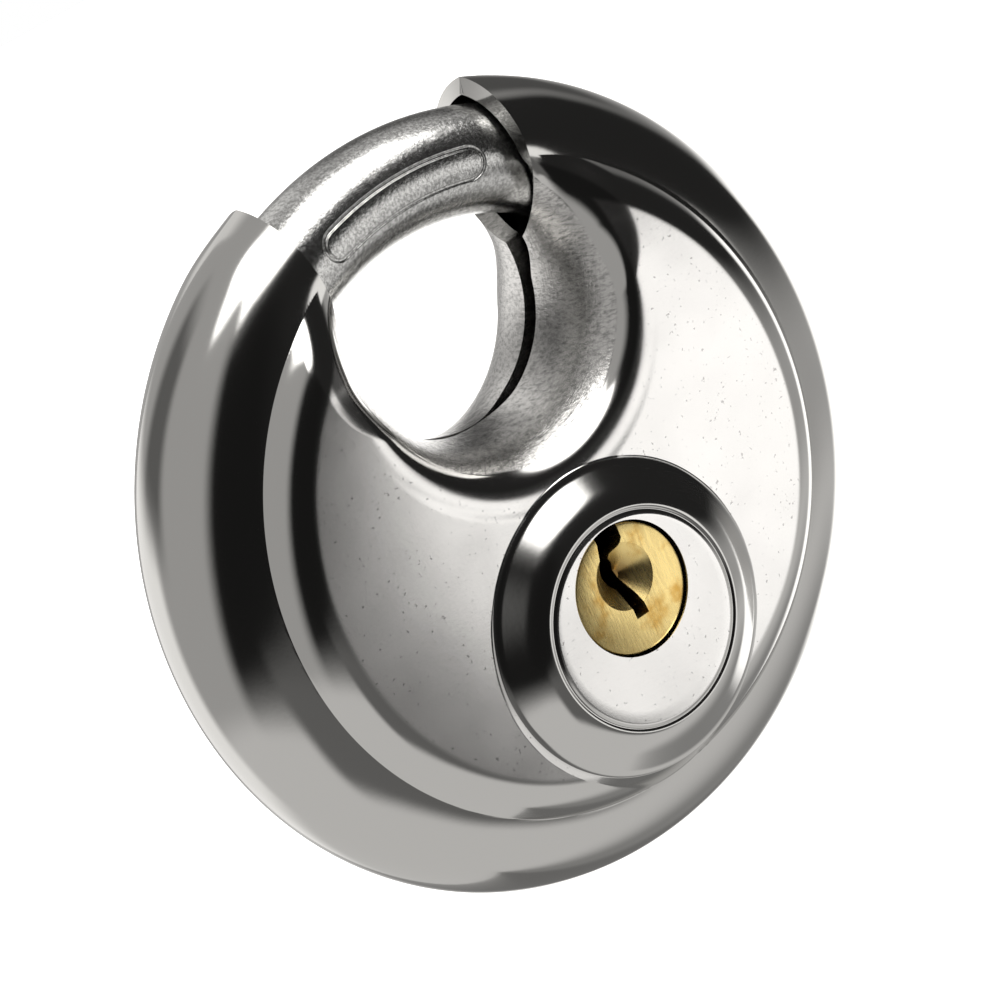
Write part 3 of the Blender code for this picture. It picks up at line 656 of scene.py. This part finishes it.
def brass_metal(name, turned_marks, painted_shade):
    """Machined brass with fine tool arcs; painted shade darkens what lies below the plug's face."""
    made, tree, shader, where = metal(name)
    grain = speckle(tree, where, 1500.0, 3, 0.6)
    stain = speckle(tree, where, 420.0, 3, 0.6)
    swept = stretched(tree, where, (0, 0.9, 0), (3000, 600, 500))
    scratches = speckle(tree, swept, 1.0, 4, 0.7)
    roughness = sums(tree, 'ADD', 0.16, sums(tree, 'MULTIPLY', scratches, 0.22))
    tree.links.new(roughness, shader.inputs["Roughness"])
    clean, stained, painted_shade_brown = (1.0, 0.78, 0.33), (0.70, 0.42, 0.10), (0.13, 0.06, 0.015)
    colour = blend(tree, step_up(tree, stain, 0.45, 0.75), clean, stained)
    # Painted shade: the brass turns dark brown deeper than the plug's face, standing in for the
    # shade inside the keyway and cone.
    inward = new_node(tree, "ShaderNodeSeparateXYZ", (where,)).outputs[1]
    shaded = step_up(tree, inward, -(PLUG_FACE - 0.1) * MM, -(PLUG_FACE - 2.0) * MM)
    shaded = sums(tree, 'MULTIPLY', shaded, painted_shade)
    tree.links.new(blend(tree, shaded, colour, painted_shade_brown), shader.inputs["Base Color"])
    raise_marks(tree, shader, [(scratches, turned_marks, 0.03 * MM), (grain, 0.15, 0.01 * MM)])
    return made


plug.data.materials.clear()
# The plug gets painted shade in its keyway and cone; the brass parts inside the case get none.
plug.data.materials.append(brass_metal("plug_brass", 0.5, 0.95))
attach(plug, "turning_plug")
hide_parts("plug")

# ---------------------------------------------------------------- inside the case
# Carrier plate, fork, post, pin cylinder, pins, cam and guide rails, hidden in the closed
# case. They keep their machined shapes and take plated, bare steel and brass finishes.


def plated_metal(name, colour, dull):
    made, tree, shader, where = metal(name)
    mottle = speckle(tree, where, 700.0, 4, 0.6)
    fine = speckle(tree, where, 4000.0, 2, 0.5)
    tree.links.new(sums(tree, 'ADD', dull, sums(tree, 'MULTIPLY', mottle, 0.16)),
                   shader.inputs["Roughness"])
    darker = tuple(0.72 * channel for channel in colour)
    tree.links.new(blend(tree, mottle, colour, darker), shader.inputs["Base Color"])
    raise_marks(tree, shader, [(mottle, 0.12, 0.04 * MM), (fine, 0.10, 0.01 * MM)])
    return made


zinc = plated_metal("bright_zinc_plate", (0.56, 0.58, 0.61), 0.26)
hard = plated_metal("hardened_bare_steel", (0.46, 0.46, 0.45), 0.22)
wire = plated_metal("drawn_spring_wire", (0.40, 0.40, 0.41), 0.18)
cast_brass = brass_metal("cylinder_brass", 0.25, 0.0)
finish_of = {"polished_stainless": zinc, "hardened_steel": hard, "zinc_plated_steel": zinc,
             "brass": cast_brass, "spring_steel": wire}
slot_of = {entry["node"]: entry["material_slot"] for entry in frame["record"]["subparts"]}
redrawn = {"front_shell", "back_shell", "shackle", "plug"}
redrawn |= {"pin_spring_%d" % number for number in range(1, 6)}
for node, part in frame["nodes"].items():
    if node in redrawn:
        continue
    part.data.materials.clear()
    part.data.materials.append(finish_of[slot_of[node]])

# ---------------------------------------------------------------- pin springs
# Five short coils of drawn steel wire under the driver pins, wound with closed end turns. Each
# stands on the spring cover.
WIRE_R, COIL_TURNS, DRIVER_TRAVEL = 0.13, 5, 0.9


def coil_mesh(name, low, high):
    """Round wire wound inside the box from low to high, closed at both ends."""
    middle = (low + high) / 2
    coil_r = (high.x - low.x) / 2 - WIRE_R * MM
    tall = high.z - low.z - 2 * WIRE_R * MM
    closed = 2 * WIRE_R * MM
    around_coil, around_wire = 24 * COIL_TURNS, 10
    verts, faces = [], []
    for k in range(around_coil + 1):
        done = COIL_TURNS * k / around_coil
        height = np.interp(done, [0, 1, COIL_TURNS - 1, COIL_TURNS],
                           [0, closed, tall - closed, tall])
        turn = 2 * math.pi * done
        for j in range(around_wire):
            round_wire = 2 * math.pi * j / around_wire
            radius = coil_r + WIRE_R * MM * math.cos(round_wire)
            verts.append((middle.x + radius * math.cos(turn), middle.y + radius * math.sin(turn),
                          low.z + WIRE_R * MM + height + WIRE_R * MM * math.sin(round_wire)))
    for k in range(around_coil):
        for j in range(around_wire):
            n = (j + 1) % around_wire
            faces.append((k * around_wire + j, (k + 1) * around_wire + j,
                          (k + 1) * around_wire + n, k * around_wire + n))
    faces.append(tuple(range(around_wire)))
    faces.append(tuple(around_coil * around_wire + j for j in reversed(range(around_wire))))
    mesh = bpy.data.meshes.new(name)
    mesh.from_pydata(verts, [], faces)
    mesh.shade_smooth()
    mesh.set_sharp_from_angle(angle=math.radians(50))
    return in_scene(name, mesh)


for number in range(1, 6):
    low, high = (Vector(corner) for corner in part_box("pin_spring_%d" % number))
    spring = coil_mesh("wound_spring_%d" % number, low, high)
    spring.data.materials.append(wire)
    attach(spring, "case")
    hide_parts("pin_spring_%d" % number)
    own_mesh(spring)

# ---------------------------------------------------------------- floor
# A plain pale sweep well below the hanging lock, so that no hard shadow meets it.
floor_mesh = bpy.data.meshes.new("pale_floor")
half, floor_drop = 3.0, 0.45                        # metres
floor_mesh.from_pydata([(-half, -half, 0), (half, -half, 0), (half, half, 0), (-half, half, 0)],
                       [], [(0, 1, 2, 3)])
floor = in_scene("pale_floor", floor_mesh)
floor.location.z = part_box("front_shell")[0].z - floor_drop
pale = bpy.data.materials.new("pale_paper")
pale.use_nodes = True
pale_tree = pale.node_tree
pale_shader = pale_tree.nodes["Principled BSDF"]
pale_shader.inputs["Base Color"].default_value = (0.9, 0.9, 0.9, 1)
pale_shader.inputs["Roughness"].default_value = 0.9
pale_shader.inputs["Specular IOR Level"].default_value = 0.0
pale_shader.inputs["Emission Color"].default_value = (1, 1, 1, 1)
pale_shader.inputs["Emission Strength"].default_value = 1.0
floor.data.materials.append(pale)
floor.visible_glossy = False
floor.visible_diffuse = False
floor.visible_shadow = False

# ---------------------------------------------------------------- light
# Soft studio light all round: a bright bank overhead, a strip low on the right, a pale wall on
# the left, a pale table below, and dark cards in front that give the steel its black bands.
world = bpy.data.worlds.new("studio")
bpy.context.scene.world = world
world.use_nodes = True
sky = world.node_tree
sky.nodes.clear()
TO_DEGREES = 57.29578
heading = new_node(sky, "ShaderNodeTexCoord").outputs["Generated"]
direction = new_node(sky, "ShaderNodeVectorMath", (heading,), operation='NORMALIZE').outputs[0]
parts = new_node(sky, "ShaderNodeSeparateXYZ", (direction,)).outputs
tilt = sums(sky, 'MULTIPLY', sums(sky, 'ARCSINE', parts[2]), TO_DEGREES)
bearing = sums(sky, 'MULTIPLY', sums(sky, 'ARCTAN2', parts[0],
               sums(sky, 'MULTIPLY', parts[1], -1.0)), TO_DEGREES)


def band(value, low, high, soft):
    up_edge = step_up(sky, value, low - soft, low + soft)
    down_edge = step_up(sky, value, high - soft, high + soft)
    return sums(sky, 'SUBTRACT', up_edge, down_edge)


def card(bearings, tilts, soft, slant):
    """A soft-edged patch of the surroundings; slant shifts its sides with height."""
    moved = sums(sky, 'SUBTRACT', bearing, sums(sky, 'MULTIPLY', tilt, slant))
    return sums(sky, 'MULTIPLY', band(moved, *bearings, soft[0]), band(tilt, *tilts, soft[1]))


def lay(level, amount, share):
    """Mix the light so far towards an amount where the share is one."""
    kept = sums(sky, 'MULTIPLY', level, sums(sky, 'SUBTRACT', 1.0, share))
    return sums(sky, 'ADD', kept, sums(sky, 'MULTIPLY', share, amount))


wall, table_light = 0.47, 0.72
cards = [    # amount, bearings, tilts, softness of the sides and of the ends, slant
    (0.30, (75, 200), (-95, -35), (35, 8), 0.0),
    (0.20, (128, 168), (-95, -42), (10, 5), 0.0),
    (0.15, (-152, -112), (12, 58), (9, 10), 0.0),
    (0.012, (-52, 25), (-24, 44), (9, 9), 0.55),
    (0.022, (10, 108), (-12, 44), (9, 7), -0.25),
    (0.10, (104, 160), (6, 36), (12, 8), 0.0),
    (0.16, (-25, 33), (-42, -18), (6, 5), 0.0),
    (1.20, (24, 50), (-21, -7), (1.5, 1.5), 0.0),
    (1.20, (31, 52), (-30, -7), (4, 2), 0.0),
    (1.15, (-185, -128), (-42, 8), (8, 8), 0.0),
    (1.7, (104, 156), (-40, -3), (5, 4), 0.0),
    (3.5, (-55, 100), (56, 86), (7, 3), 0.0),
    (3.5, (-22, 80), (45, 64), (4, 3), 0.0),
    (0.9, (160, 190), (20, 60), (8, 8), 0.0),
]
below = sums(sky, 'SUBTRACT', 1.0, step_up(sky, tilt, -32, -22))
light = lay(wall, table_light, below)
for amount, bearings, tilts, soft, slant in cards:
    light = lay(light, amount, card(bearings, tilts, soft, slant))
background = new_node(sky, "ShaderNodeBackground")
sky.links.new(light, background.inputs["Strength"])
background.inputs["Color"].default_value = (1.0, 0.985, 0.965, 1.0)
paper = new_node(sky, "ShaderNodeBackground")
paper.inputs["Color"].default_value = (1.0, 1.0, 1.0, 1.0)
seen_directly = new_node(sky, "ShaderNodeLightPath").outputs["Is Camera Ray"]
either = new_node(sky, "ShaderNodeMixShader", (seen_directly, background.outputs[0],
                                               paper.outputs[0]))
output = new_node(sky, "ShaderNodeOutputWorld")
sky.links.new(either.outputs[0], output.inputs["Surface"])

# ---------------------------------------------------------------- camera
# Long lens from the upper left in front, rolled so the lock looks turned anticlockwise.
distance = 0.37373
side_turn, height_turn, roll = (math.radians(turn) for turn in (-29.56, 17.07, -24.01))
away = Vector((math.sin(side_turn) * math.cos(height_turn),
               -math.cos(side_turn) * math.cos(height_turn), math.sin(height_turn)))
level = Vector((math.cos(side_turn), math.sin(side_turn), 0))
upright = away.cross(level)
right = math.cos(roll) * level + math.sin(roll) * upright
up = -math.sin(roll) * level + math.cos(roll) * upright
lens = bpy.data.cameras.new("camera")
lens.lens, lens.sensor_width = 157.1, 36.0
lens.shift_x, lens.shift_y = -0.00225, -0.01517
lens.clip_start, lens.clip_end = 0.01, 20.0
camera = in_scene("camera", lens)
place = Matrix((right, up, away)).transposed().to_4x4()
place.translation = Vector((0, 0, DISC_Z)) + away * distance
camera.matrix_world = place
bpy.context.scene.camera = camera
bpy.context.scene.view_settings.view_transform = 'Standard'
